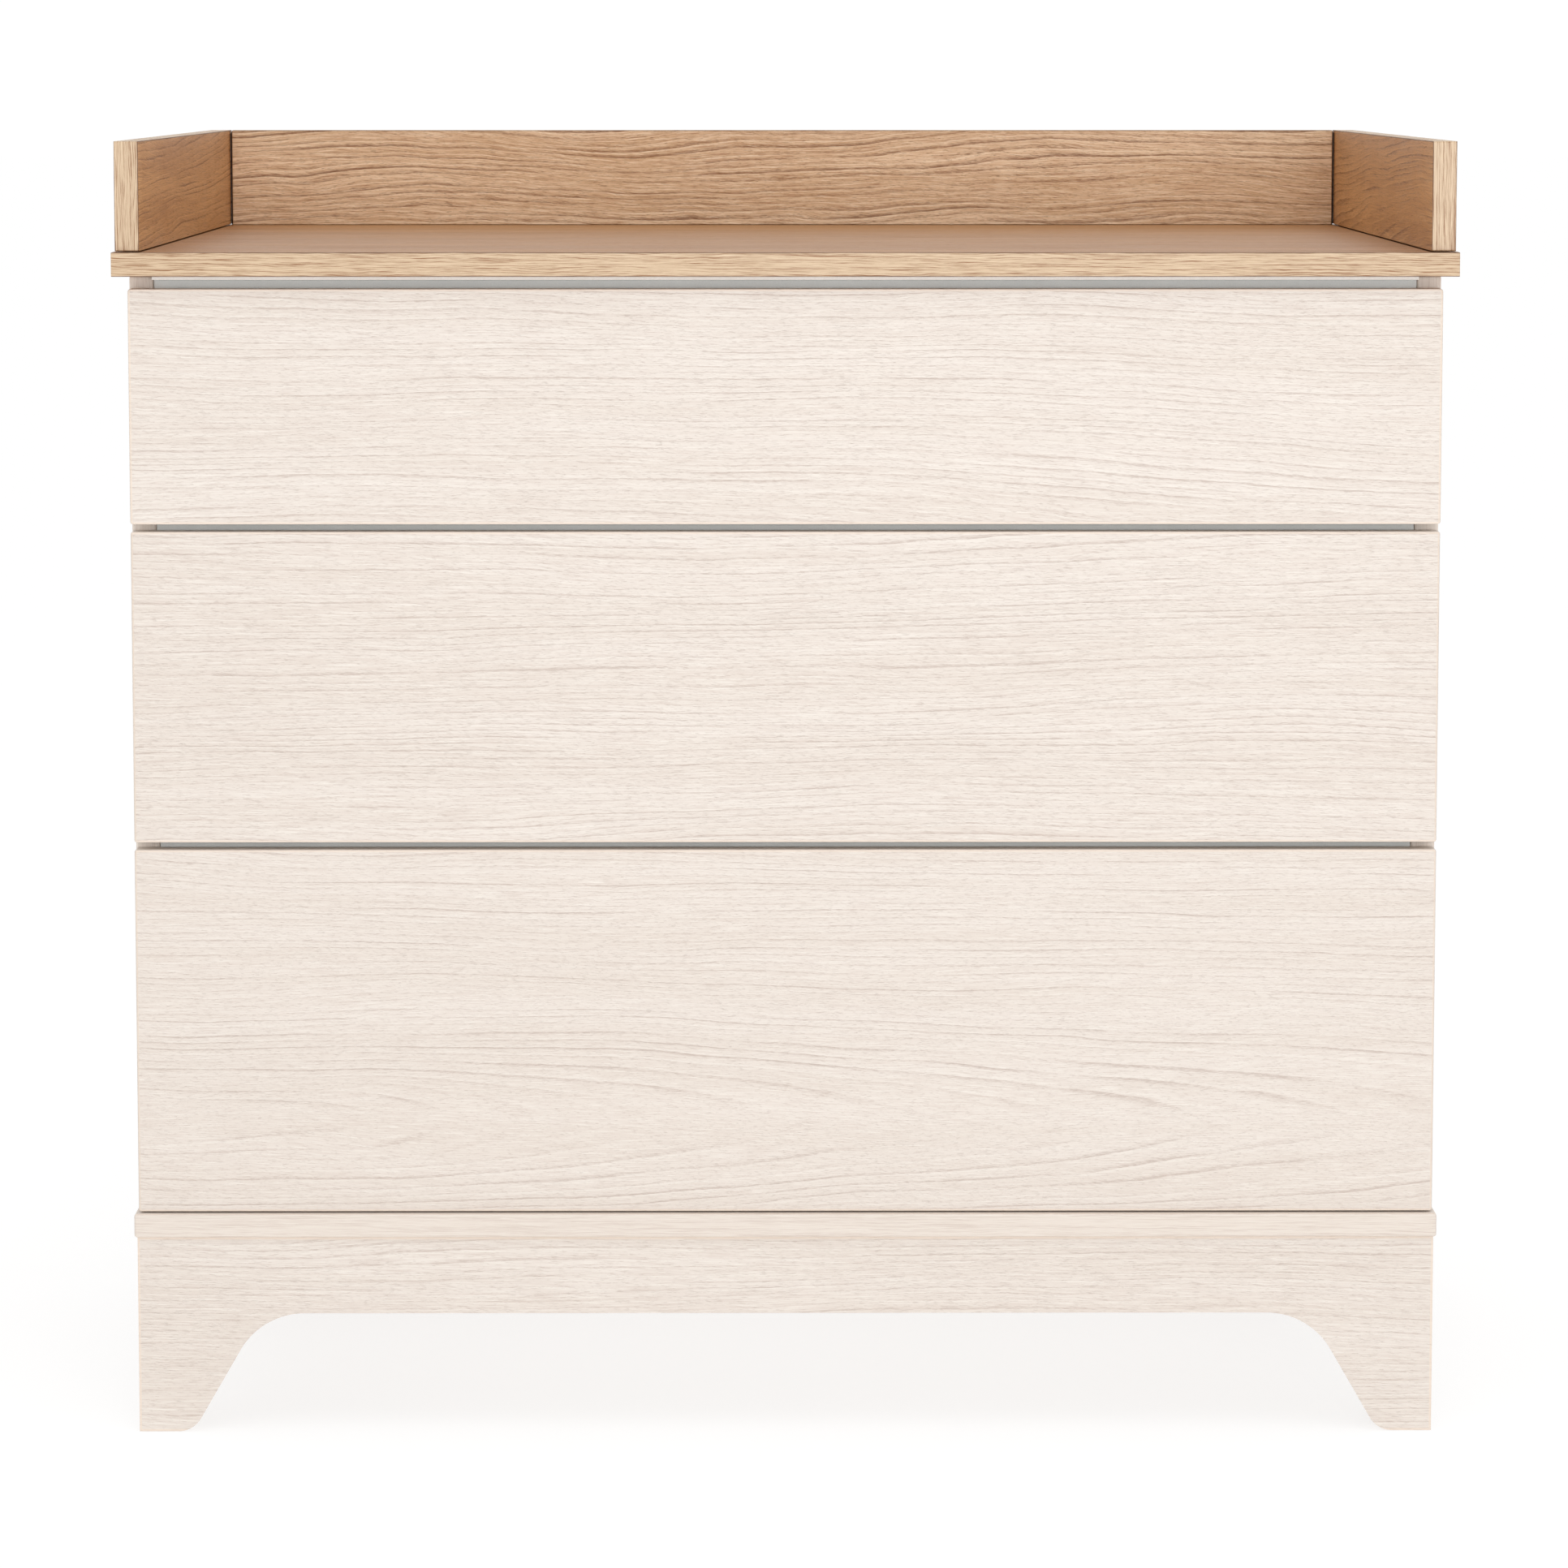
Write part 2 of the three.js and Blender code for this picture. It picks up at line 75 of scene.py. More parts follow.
class Graph:
    """The nodes of one material, written as sums."""

    def __init__(self, tree):
        self.tree = tree
        tree.nodes.clear()

    def node(self, kind, **settings):
        made = self.tree.nodes.new(kind)
        for name, value in settings.items():
            setattr(made, name, value)
        return made

    def feed(self, socket, value):
        if isinstance(value, Val):
            self.tree.links.new(value.socket, socket)
        else:
            socket.default_value = value

    def math(self, operation, *values):
        made = self.node("ShaderNodeMath", operation=operation)
        for socket, value in zip(made.inputs, values):
            self.feed(socket, value)
        return Val(self, made.outputs[0])

    def vector(self, x, y, z=0.0):
        made = self.node("ShaderNodeCombineXYZ")
        for socket, value in zip(made.inputs, (x, y, z)):
            self.feed(socket, value)
        return Val(self, made.outputs[0])

    def parts(self, vector):
        made = self.node("ShaderNodeSeparateXYZ")
        self.feed(made.inputs[0], vector)
        return [Val(self, out) for out in made.outputs]

    def noise(self, x, y, z=0.0, detail=1.0, roughness=0.5, distortion=0.0):
        """Smooth noise about 0, mostly between -0.3 and 0.3."""
        made = self.node("ShaderNodeTexNoise", noise_dimensions="3D")
        self.feed(made.inputs["Vector"], self.vector(x, y, z))
        made.inputs["Scale"].default_value = 1.0
        made.inputs["Detail"].default_value = detail
        made.inputs["Roughness"].default_value = roughness
        made.inputs["Distortion"].default_value = distortion
        return Val(self, made.outputs[0]) - 0.5

    def random(self, x, seed=0.0):
        made = self.node("ShaderNodeTexWhiteNoise", noise_dimensions="2D")
        self.feed(made.inputs["Vector"], self.vector(x, seed))
        return Val(self, made.outputs["Value"])

    def smooth(self, value, low, high):
        """0 below low, 1 above high, with a smooth step between."""
        made = self.node("ShaderNodeMapRange", interpolation_type="SMOOTHSTEP")
        for name, x in (("Value", value), ("From Min", low), ("From Max", high)):
            self.feed(made.inputs[name], x)
        return Val(self, made.outputs["Result"])

    def mix(self, factor, colour_a, colour_b, blend="MIX"):
        made = self.node("ShaderNodeMix", data_type="RGBA", blend_type=blend)
        self.feed(made.inputs[0], factor)
        self.feed(made.inputs[6], colour_a)
        self.feed(made.inputs[7], colour_b)
        return Val(self, made.outputs[2])

    def place(self):
        """The point's place in the row frame at rest, in millimetres, and its normal."""
        coordinates = self.node("ShaderNodeTexCoord")
        point = [p * 1000.0 for p in self.parts(Val(self, coordinates.outputs["Object"]))]
        return point, self.parts(Val(self, coordinates.outputs["Normal"]))


def rgb(red, green, blue):
    """A linear colour from display values of 0 to 255."""
    def linear(c):
        c /= 255.0
        return c / 12.92 if c <= 0.04045 else ((c + 0.055) / 1.055) ** 2.4
    return (linear(red), linear(green), linear(blue), 1.0)


def grey(level):
    return (level, level, level, 1.0)


def shader(graph, colour, roughness, height, relief, metallic=0.0, specular=0.5):
    """The surface. Its height pattern stands out by about relief millimetres."""
    surface = graph.node("ShaderNodeBsdfPrincipled")
    graph.feed(surface.inputs["Base Color"], colour)
    graph.feed(surface.inputs["Roughness"], roughness)
    surface.inputs["Metallic"].default_value = metallic
    surface.inputs["Specular IOR Level"].default_value = specular
    bump = graph.node("ShaderNodeBump")
    bump.inputs["Strength"].default_value = 1.0
    bump.inputs["Distance"].default_value = relief * MM
    graph.feed(bump.inputs["Height"], height)
    graph.tree.links.new(bump.outputs[0], surface.inputs["Normal"])
    output = graph.node("ShaderNodeOutputMaterial")
    graph.tree.links.new(surface.outputs[0], output.inputs[0])


def new_material(name):
    material = bpy.data.materials.new(name)
    material.use_nodes = True
    return material, Graph(material.node_tree)


# ---------------------------------------------------------------- wood laminate
def wood_figure(g, along, across, seed, look):
    """Growth lines, pores, fibres and bands, all following one wavy flow. Lengths are in mm."""
    s = seed * 17.31
    sway = (g.noise(along / look["sway_run"], across / 150.0, s) * look["sway"]
            + g.noise(along / look["ripple_run"], across / 38.0, s + 5.0) * look["ripple"]
            + g.noise(along / look["quiver_run"], across / 9.0, s + 9.0) * look["quiver"])
    flow = across + sway
    # The board is a slice past a slightly tilted pith, which opens the lines into arches.
    depth = (along * look["tilt"] + look["depth"]
             + g.noise(along / 260.0, across / 300.0, s + 2.0) * look["tilt"] * 200.0)
    from_pith = flow - look["pith"]
    radius = g.math("SQRT", from_pith * from_pith + depth * depth)
    slant = g.math("ABSOLUTE", from_pith) / radius
    radius = radius + g.noise(radius / 23.0, s, 3.0) * 12.0
    phase = radius / look["ring"] + g.noise(along / 48.0, across / 6.0, s + 1.0) * 0.20
    ring = g.math("FLOOR", phase)
    place = g.math("FRACT", phase)
    chance = g.random(ring, s)
    weight = (chance * 0.75 + 0.25) * g.smooth(slant, 0.04, 0.45)
    fade = g.smooth(g.noise(along / 120.0, ring * 3.7, s + 4.0), -0.16, 0.12)
    weight = weight * (fade * 0.8 + 0.2)
    late = g.smooth(place, look["late"], 0.94) * (1.0 - g.smooth(place, 0.955, 1.0))
    early = g.smooth(place, 0.0, 0.04) * (1.0 - g.smooth(place, 0.05, 0.30))
    broken = g.noise(along / 9.0 + flow * 1.3, flow / 0.55, s + 8.0, 2.0, 0.6)
    broken = g.smooth(broken, -0.10, 0.08)
    line = late * weight * (broken * 0.6 + 0.4)
    dashes = g.noise(along / look["pore_run"] + flow * 1.9, flow / look["pore_gap"], s + 6.0)
    pores = g.smooth(dashes + late * weight * look["pore_pull"], look["pore_at"],
                     look["pore_at"] + 0.10)
    fibres = g.noise(along / look["fibre_run"] + flow * 1.3, flow / look["fibre_gap"], s + 7.0,
                     2.0, 0.65)
    bands = g.noise(along / 520.0, flow / 22.0, s + 3.0, 3.0, 0.6)
    return line, early * weight, pores, fibres, bands


# How each wood looks. Runs, gaps and the pith's place are in mm, and the others are strengths.
WHITE_LOOK = dict(sway_run=600.0, sway=42.0, ripple_run=170.0, ripple=8.0,
                  quiver_run=30.0, quiver=1.2, tilt=0.03, depth=60.0, pith=260.0, ring=5.2,
                  late=0.66, pore_run=5.0, pore_gap=0.34, pore_pull=0.16, pore_at=0.12,
                  fibre_run=20.0, fibre_gap=0.7,
                  line=0.60, early=0.45, pores=0.45, fibre=0.85, edge_fibre=0.9, band=0.65,
                  rim=0.85, arris=0.10, relief=0.10)
OAK_LOOK = dict(sway_run=420.0, sway=60.0, ripple_run=110.0, ripple=12.0,
                quiver_run=30.0, quiver=2.2, tilt=0.06, depth=60.0, pith=150.0, ring=5.4,
                late=0.35, pore_run=4.2, pore_gap=0.34, pore_pull=0.24, pore_at=0.10,
                fibre_run=15.0, fibre_gap=0.7,
                line=0.90, early=0.7, pores=0.5, fibre=0.8, edge_fibre=1.0, band=0.8,
                rim=0.0, arris=0.75, relief=0.06)

# The linear colours that the figure and the edge banding are mixed from. The seam colour is both
# the dark line along the banding's arrises and painted shade in the back wall's grooves.
WHITE_TONES = dict(pale=rgb(223, 213, 204), deep=rgb(219, 208, 198), line=rgb(192, 174, 163),
                   pore=rgb(184, 165, 154), light=rgb(233, 226, 217), fibre=rgb(209, 195, 185),
                   edge=rgb(222, 211, 200), edge_line=rgb(205, 190, 179),
                   edge_light=rgb(231, 223, 214), rim=rgb(228, 212, 197), seam_and_shade=rgb(206, 190, 176))
OAK_TONES = dict(pale=rgb(226, 191, 153), deep=rgb(209, 169, 126), line=rgb(126, 72, 28),
                 pore=rgb(98, 54, 20), light=rgb(250, 226, 195), fibre=rgb(166, 112, 64),
                 edge=rgb(207, 181, 150), edge_line=rgb(138, 92, 54),
                 edge_light=rgb(230, 206, 174), rim=rgb(207, 182, 151), seam_and_shade=rgb(86, 54, 34))


def laminate(name, box, axes, seed, look, palette, gloss, **changes):
    """A board with printed wood figure: grain along axes[0], across axes[1], thickness axes[2].
    Its edges are banded with straighter strips of the same wood."""
    look = dict(look, **changes)
    tones = dict(palette, **look.get("tones", {}))
    material, g = new_material(name)
    point, normal = g.place()
    low, high = [[c / MM for c in corner] for corner in box]
    along_axis, across_axis, thickness_axis = axes
    middle = [(low[k] + high[k]) / 2.0 for k in range(3)]
    a, b, t = (point[k] - middle[k] for k in axes)
    facing = [g.math("ABSOLUTE", normal[k]) for k in range(3)]
    on_end = g.math("GREATER_THAN", facing[along_axis], 0.7)
    on_long = g.math("GREATER_THAN", facing[across_axis], 0.7)
    on_edge = g.math("MAXIMUM", on_end, on_long)

    line, early, pores, fibres, bands = wood_figure(g, a, b, seed, look)
    tone = g.smooth(bands, -0.22 * look["band"], 0.22 * look["band"])
    face = g.mix(tone, tones["deep"], tones["pale"])
    face = g.mix(g.smooth(fibres, 0.0, 0.22) * look["fibre"], face, tones["light"])
    face = g.mix(g.smooth(fibres, 0.0, -0.22) * look["fibre"], face, tones["fibre"])
    face = g.mix(early * look["early"], face, tones["light"])
    face = g.mix(line * look["line"], face, tones["line"])
    face = g.mix(pores * look["pores"], face, tones["pore"])

    # Edge banding: straight streaks along each strip.
    run = a + on_end * (b - a)
    strip = (t + g.noise(run / 60.0, t / 9.0, seed + 0.5) * 3.0
             + g.noise(run / 17.0, t / 6.0, seed + 0.9) * 1.1)
    fine = g.noise(run / 16.0 + strip * 2.3, strip / 0.32, seed * 3.1 + 40.0, 3.0, 0.65)
    broad = g.noise(run / 75.0 + strip * 0.9, strip / 1.2, seed * 3.1 + 50.0, 2.0, 0.6)
    streak = g.smooth(fine + broad * 0.8, 0.03, -0.18)
    edge = g.mix(streak * look["edge_fibre"], tones["edge"], tones["edge_line"])
    edge = g.mix(g.smooth(fine, 0.03, 0.20) * 0.8, edge, tones["edge_light"])
    base = g.mix(on_edge, face, edge)

    # The edge banding shows as a narrow rim on the faces, and as a line along its own arrises.
    def rim(k):
        return g.math("MINIMUM", point[k] - low[k], high[k] - point[k])
    inset = g.math("MINIMUM", rim(along_axis), rim(across_axis))
    wander = g.noise(a / 23.0, b / 23.0, t / 23.0 + seed)
    banding = (1.0 - g.smooth(inset + wander * 0.4, 1.5, 1.9)) * (1.0 - on_edge)
    base = g.mix(banding * look["rim"], base, tones["rim"])
    arris = 1.0 - g.smooth(rim(thickness_axis) + wander, 0.35, 0.80)
    arris = g.math("MAXIMUM", arris * on_edge, banding * (1.0 - g.smooth(inset, 0.5, 0.9)))
    base = g.mix(arris * look["arris"], base, tones["seam_and_shade"])
    # Painted shade: within this distance of the board's ends it takes the seam colour, which
    # darkens the groove beside each side wall.
    groove = 1.0 - g.math("GREATER_THAN", rim(along_axis), look.get("groove", -1.0))
    base = g.mix(groove, base, tones["seam_and_shade"])

    smear = g.noise(point[X] / 70.0, point[Y] / 70.0, point[Z] / 70.0, 3.0, 0.6)
    on_face = 1.0 - on_edge
    grain = fibres * on_face + fine * on_edge
    roughness = grain * 0.12 + pores * on_face * 0.12 + smear * 0.14 + gloss
    height = grain * 0.4 - (pores * 0.6 + line * 0.25 - early * 0.1) * on_face
    shader(g, base, roughness, height, relief=look["relief"],
           specular=look.get("specular", 0.45))
    return material


# ---------------------------------------------------------------- other finishes
def grey_laminate():
    material, g = new_material("grey_laminate")
    point, _ = g.place()
    speck = g.noise(*[p / 0.9 for p in point], 2.0, 0.6)
    cloud = g.noise(*[p / 60.0 for p in point], 3.0, 0.6)
    base = g.mix(g.smooth(cloud + speck * 0.7, -0.3, 0.3), rgb(219, 221, 219), rgb(228, 230, 228))
    shader(g, base, cloud * 0.15 + speck * 0.1 + 0.58, speck, relief=0.05, specular=0.4)
    return material


def white_hardboard():
    material, g = new_material("white_hardboard")
    point, _ = g.place()
    fibre = g.noise(point[X] / 2.6, point[Y] / 2.6, point[Z] / 2.6, 4.0, 0.7, 0.8)
    cloud = g.noise(*[p / 110.0 for p in point], 3.0, 0.6)
    base = g.mix(g.smooth(fibre, -0.25, 0.25), rgb(240, 237, 232), rgb(250, 248, 245))
    base = g.mix(g.smooth(cloud, -0.25, 0.25) * 0.4, base, rgb(238, 232, 222))
    shader(g, base, fibre * 0.2 + 0.66, fibre, relief=0.10, specular=0.35)
    return material


def drawer_foil():
    material, g = new_material("drawer_box_white")
    point, normal = g.place()
    upright = g.math("GREATER_THAN", g.math("ABSOLUTE", normal[X]), 0.7)
    run = point[X] + upright * (point[Y] - point[X])
    grain = g.noise(run / 30.0, (point[Z] + point[Y] * (1.0 - upright)) / 0.8, 2.0, 2.0, 0.6)
    cloud = g.noise(*[p / 90.0 for p in point], 3.0, 0.6)
    base = g.mix(g.smooth(grain, -0.25, 0.25), rgb(232, 227, 219), rgb(245, 242, 237))
    base = g.mix(g.smooth(cloud, -0.25, 0.25) * 0.35, base, rgb(236, 230, 221))
    shader(g, base, grain * 0.16 + cloud * 0.1 + 0.45, grain, relief=0.06, specular=0.4)
    return material


def zinc_steel():
    material, g = new_material("zinc_plated_steel")
    point, _ = g.place()
    brushed = g.noise(point[Y] / 38.0, point[Z] / 0.22, point[X] / 0.22, 2.0, 0.6)
    cloud = g.noise(*[p / 17.0 for p in point], 3.0, 0.65)
    scratch = g.smooth(g.noise(point[Y] / 9.0, point[Z] / 0.5, point[X] / 0.5 + 9.0), 0.2, 0.26)
    base = g.mix(g.smooth(cloud, -0.25, 0.25), rgb(203, 205, 208), rgb(217, 217, 214))
    base = g.mix(scratch * 0.35, base, rgb(238, 238, 236))
    roughness = brushed * 0.25 + cloud * 0.18 - scratch * 0.08 + 0.34
    shader(g, base, roughness, brushed + scratch * -0.4, relief=0.015, metallic=1.0)
    return material


def plastic(name, dark, pale, gloss):
    material, g = new_material(name)
    point, _ = g.place()
    texture = g.noise(*[p / 0.55 for p in point], 2.0, 0.6)
    cloud = g.noise(*[p / 14.0 for p in point], 3.0, 0.6)
    base = g.mix(g.smooth(cloud + texture * 0.4, -0.3, 0.3), dark, pale)
    shader(g, base, texture * 0.15 + cloud * 0.1 + gloss, texture, relief=0.03, specular=0.5)
    return material


# ---------------------------------------------------------------- materials on the CAD nodes
WHITE = dict(look=WHITE_LOOK, palette=WHITE_TONES, gloss=0.47)
OAK = dict(look=OAK_LOOK, palette=OAK_TONES, gloss=0.40)

# node: (grain axis, width axis, thickness axis), seed, changes to the look
WHITE_BOARDS = {
    "drawer_top_front": ((X, Z, Y), 1.0, dict(pith=-130.0, depth=50.0)),
    "drawer_middle_front": ((X, Z, Y), 2.0, dict(pith=190.0)),
    "drawer_bottom_front": ((X, Z, Y), 3.0, dict(pith=-70.0, depth=50.0, tilt=0.05)),
    "base_board": ((X, Y, Z), 4.0, {}),
    "plinth_front": ((X, Z, Y), 5.0, {}),
    "plinth_back": ((X, Z, Y), 6.0, {}),
    "plinth_left": ((Y, Z, X), 7.0, {}),
    "plinth_right": ((Y, Z, X), 8.0, {}),
    "side_panel_left": ((Z, Y, X), 9.0, dict(pith=60.0)),
    "side_panel_right": ((Z, Y, X), 10.0, dict(pith=-40.0)),
    "rail_rear": ((X, Y, Z), 11.0, {}),
}
# Painted shade: the side walls take a darker, more saturated copy of the oak colours, standing in
# for the shade on their inner faces.
SHADED_WALL_TONES = dict(pale=rgb(199, 144, 87), deep=rgb(178, 122, 67), light=rgb(219, 168, 109),
                  fibre=rgb(142, 91, 47), line=rgb(114, 68, 33))
# Painted shade: the changing board takes a darker copy of the oak colours, standing in for the
# dimmer light on its top.
SHADED_BOARD_TONES = dict(pale=rgb(184, 136, 91), deep=rgb(164, 117, 74), light=rgb(196, 151, 107),
                   fibre=rgb(145, 98, 59))
# The side walls' figure is long and straight, so their lines run almost the wall's length. They
# also take the shaded wall colours, which are painted shade for their inner faces.
WALL_FIGURE_AND_SHADE = dict(sway_run=700.0, sway=50.0, ripple_run=230.0, quiver_run=90.0, quiver=2.6,
                   pore_run=14.0, fibre_run=50.0, ring=5.0, late=0.55, line=0.65,
                   tones=SHADED_WALL_TONES)
OAK_BOARDS = {
    "changing_board": ((X, Y, Z), 21.0, dict(line=0.4, pores=0.3, fibre=0.6, specular=0.3,
                                             tones=SHADED_BOARD_TONES)),
    "tray_wall_left": ((Y, Z, X), 22.0, dict(WALL_FIGURE_AND_SHADE, pith=90.0)),
    "tray_wall_right": ((Y, Z, X), 23.0, dict(WALL_FIGURE_AND_SHADE, pith=-90.0)),
    # The back wall's ends are painted dark as shade in the groove beside each side wall.
    "tray_wall_back": ((X, Z, Y), 24.0, dict(groove=1.35)),
}


def show(node, material):
    mesh = frame["nodes"][node].data
    mesh.materials.clear()
    mesh.materials.append(material)


for kind, boards in ((WHITE, WHITE_BOARDS), (OAK, OAK_BOARDS)):
    for node, (axes, seed, changes) in boards.items():
        show(node, laminate(f"laminate_{node}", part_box(node), axes, seed, **kind, **changes))

FINISHES = {
    "grey_laminate": grey_laminate(),
    "white_hardboard": white_hardboard(),
    "drawer_box_white": drawer_foil(),
    "zinc_plated_steel": zinc_steel(),
    "grey_plastic": plastic("grey_plastic", rgb(132, 135, 138), rgb(150, 153, 156), 0.55),
    "white_plastic": plastic("white_plastic", rgb(226, 226, 222), rgb(240, 240, 237), 0.42),
}
for part in frame["record"]["subparts"]:
    if part["material_slot"] in FINISHES:
        show(part["node"], FINISHES[part["material_slot"]])


# ---------------------------------------------------------------- rounded edges
SHARP = math.radians(40.0)
ON_THE_BOX = 0.2 * MM  # an edge this near to the node's box is an outer one
WELD_DISTANCE = 0.01 * MM


def edge_weights(name, low, high):
    """Geometry nodes that give the Bevel modifier the edges on the node's outer box."""
    tree = bpy.data.node_groups.new(name, "GeometryNodeTree")
    tree.interface.new_socket("Geometry", in_out="INPUT", socket_type="NodeSocketGeometry")
    tree.interface.new_socket("Geometry", in_out="OUTPUT", socket_type="NodeSocketGeometry")
    g = Graph(tree)
    source, sink = g.node("NodeGroupInput"), g.node("NodeGroupOutput")
    position = g.node("GeometryNodeInputPosition")
    angle = g.node("GeometryNodeInputMeshEdgeAngle")
    inset = None
    for k, p in enumerate(g.parts(Val(g, position.outputs[0]))):
        here = g.math("MINIMUM", p - low[k], high[k] - p)
        inset = here if inset is None else g.math("MINIMUM", inset, here)
    sharp = g.math("GREATER_THAN", Val(g, angle.outputs["Unsigned Angle"]), SHARP)
    outside = g.math("LESS_THAN", inset, ON_THE_BOX)
    store = g.node("GeometryNodeStoreNamedAttribute", data_type="FLOAT", domain="EDGE")
    store.inputs["Name"].default_value = "bevel_weight_edge"
    g.feed(store.inputs["Value"], sharp * outside)
    tree.links.new(source.outputs[0], store.inputs["Geometry"])
    tree.links.new(store.outputs[0], sink.inputs[0])
    return tree


def round_edges(node, radius, segments=3):
    thing = frame["nodes"][node]
    weld = thing.modifiers.new("weld", "WELD")
    weld.merge_threshold = WELD_DISTANCE
    weights = thing.modifiers.new("weights", "NODES")
    weights.node_group = edge_weights(f"edges_{node}", *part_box(node))
    bevel = thing.modifiers.new("bevel", "BEVEL")
    bevel.limit_method = "WEIGHT"
    bevel.width = radius * MM
    bevel.segments = segments
    bevel.use_clamp_overlap = True
    bevel.harden_normals = True


# node: radius in mm
ROUNDED = {node: 1.8 for node in WHITE_BOARDS}
ROUNDED["base_board"] = 1.9
ROUNDED.update({node: 1.1 for node in OAK_BOARDS})
ROUNDED.update({f"rail_{name}": 0.8 for name in ("top", "middle", "lower")})
for drawer in DRAWERS:
    ROUNDED.update({f"drawer_{drawer}_{part}": 0.9
                    for part in ("side_left", "side_right", "back")})
    ROUNDED[f"latch_{drawer}_housing"] = 0.7
for node, radius in ROUNDED.items():
    round_edges(node, radius)


# ---------------------------------------------------------------- small hardware
DOWN, UP, BACK = (0, 0, -1), (0, 0, 1), (0, 1, 0)
SUNK = 0.3  # mm that a head or cap goes into what it sits on
SHADED_SHARP = math.radians(35.0)


def add_round(bm, place, direction, profile, segments=32):
    """Adds a closed round body that grows from place along direction. Its profile is (radius,
    height) pairs in mm from its middle to its middle; a radius may be a function of the angle."""
    turn = Vector((0.0, 0.0, 1.0)).rotation_difference(Vector(direction)).to_matrix()
    rings = []
    for radius, height in profile:
        ring = []
        for k in range(segments if radius else 1):
            angle = 2.0 * math.pi * k / segments
            reach = radius(angle) if callable(radius) else radius
            point = Vector((reach * math.cos(angle), reach * math.sin(angle), height))
            ring.append(bm.verts.new(Vector(place) + turn @ point * MM))
        rings.append(ring)
    for lower, upper in zip(rings, rings[1:]):
        for k in range(segments):
            corners = [lower[k % len(lower)], lower[(k + 1) % segments % len(lower)],
                       upper[(k + 1) % segments % len(upper)], upper[k % len(upper)]]
            bm.faces.new(list(dict.fromkeys(corners)))


def cross(arm, half_width, scale=1.0):
    """The outline of a cross recess, as a radius for each angle."""
    def radius(angle):
        folded = abs((angle + math.pi / 4.0) % (math.pi / 2.0) - math.pi / 4.0)
        return scale * min(arm / math.cos(folded), half_width / max(math.sin(folded), 0.01))
    return radius


def add_screw(bm, place, direction, radius=3.0, height=1.6):
    """A pan head with a cross recess. A low head is nearly flat, as a countersunk one is."""
    arm, width, floor = 0.55 * radius, 0.16 * radius, max(height - 0.42 * radius, 0.05)
    add_round(bm, place, direction, [
        (0.0, -SUNK), (radius, -SUNK), (radius, height * 0.25),
        (radius * 0.93, height * 0.65), (radius * 0.76, height * 0.93),
        (cross(arm, width, 1.14), height), (cross(arm, width), height - 0.12),
        (cross(arm, width, 0.55), floor), (0.0, floor)])


def add_dome(bm, place, direction, radius, height, segments=24):
    """A round cap with a rounded rim, sunk a little into what it sits on."""
    rim = min(height, radius) * 0.5
    add_round(bm, place, direction, [
        (0.0, -SUNK), (radius, -SUNK), (radius, height - rim),
        (radius - rim * 0.3, height - rim * 0.3), (radius - rim, height),
        (radius * 0.4, height + 0.05), (0.0, height + 0.06)], segments)


def make_piece(name, body, slot, bm):
    """One object of all that the mesh holds, riding on a body."""
    bmesh.ops.recalc_face_normals(bm, faces=bm.faces)
    mesh = bpy.data.meshes.new(name)
    bm.to_mesh(mesh)
    bm.free()
    mesh.shade_smooth()
    mesh.set_sharp_from_angle(angle=SHADED_SHARP)
    mesh.materials.append(FINISHES[slot])
    thing = bpy.data.objects.new(name, mesh)
    bpy.context.scene.collection.objects.link(thing)
    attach(thing, body)


def inner_edge(low, high, sign):
    """Of a node's box on one side, the x nearest the middle of the object, then the farthest."""
    return (low[X], high[X]) if sign > 0 else (high[X], low[X])


def spread(start, end, step):
    """Evenly spaced values from start to end, about a step apart."""
    count = max(1, round((end - start) / step))
    return [start + (end - start) * k / count for k in range(count + 1)]


def middle(node, axis):
    return sum(corner[axis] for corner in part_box(node)) / 2.0


NAIL_STEP = 115 * MM
NAIL_INSET = 8 * MM


def nail_back_panel():
    low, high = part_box("back_panel")
    left, right = low[X] + NAIL_INSET, high[X] - NAIL_INSET
    bottom, top = low[Z] + NAIL_INSET, high[Z] - NAIL_INSET
    places = [(x, z) for x in spread(left, right, NAIL_STEP) for z in (bottom, top)]
    places += [(x, z) for x in (left, right) for z in spread(bottom, top, NAIL_STEP)[1:-1]]
    bm = bmesh.new()
    for x, z in places:
        add_dome(bm, (x, high[Y], z), BACK, radius=2.3, height=0.5, segments=16)
    make_piece("back_panel_nails", "carcass", "zinc_plated_steel", bm)


BACK_WALL_SCREWS = dict(inset=100 * MM, step=270 * MM)
SIDE_WALL_SCREWS = dict(inset=80 * MM, step=290 * MM)


def screw_tray_walls():
    """The screws that hold the tray's walls, driven up through the board. They show behind."""
    low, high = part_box("changing_board")

    def row(axis, inset, step):
        return spread(low[axis] + inset, high[axis] - inset, step)
    rear = middle("tray_wall_back", Y)
    places = [(x, rear) for x in row(X, **BACK_WALL_SCREWS)]
    for side in SIDES:
        wall = middle(f"tray_wall_{side}", X)
        places += [(wall, y) for y in row(Y, **SIDE_WALL_SCREWS)]
    bm = bmesh.new()
    for x, y in places:
        add_screw(bm, (x, y, low[Z]), DOWN, radius=4.4, height=0.3)
    make_piece("tray_wall_screws", "carcass", "zinc_plated_steel", bm)


BRACKET_HOLE_INSET = 10 * MM  # from the bracket's ends
BRACKET_HOLE_SETBACK = 22 * MM  # from its face on the wall
BRACKET_SHEET = 2 * MM


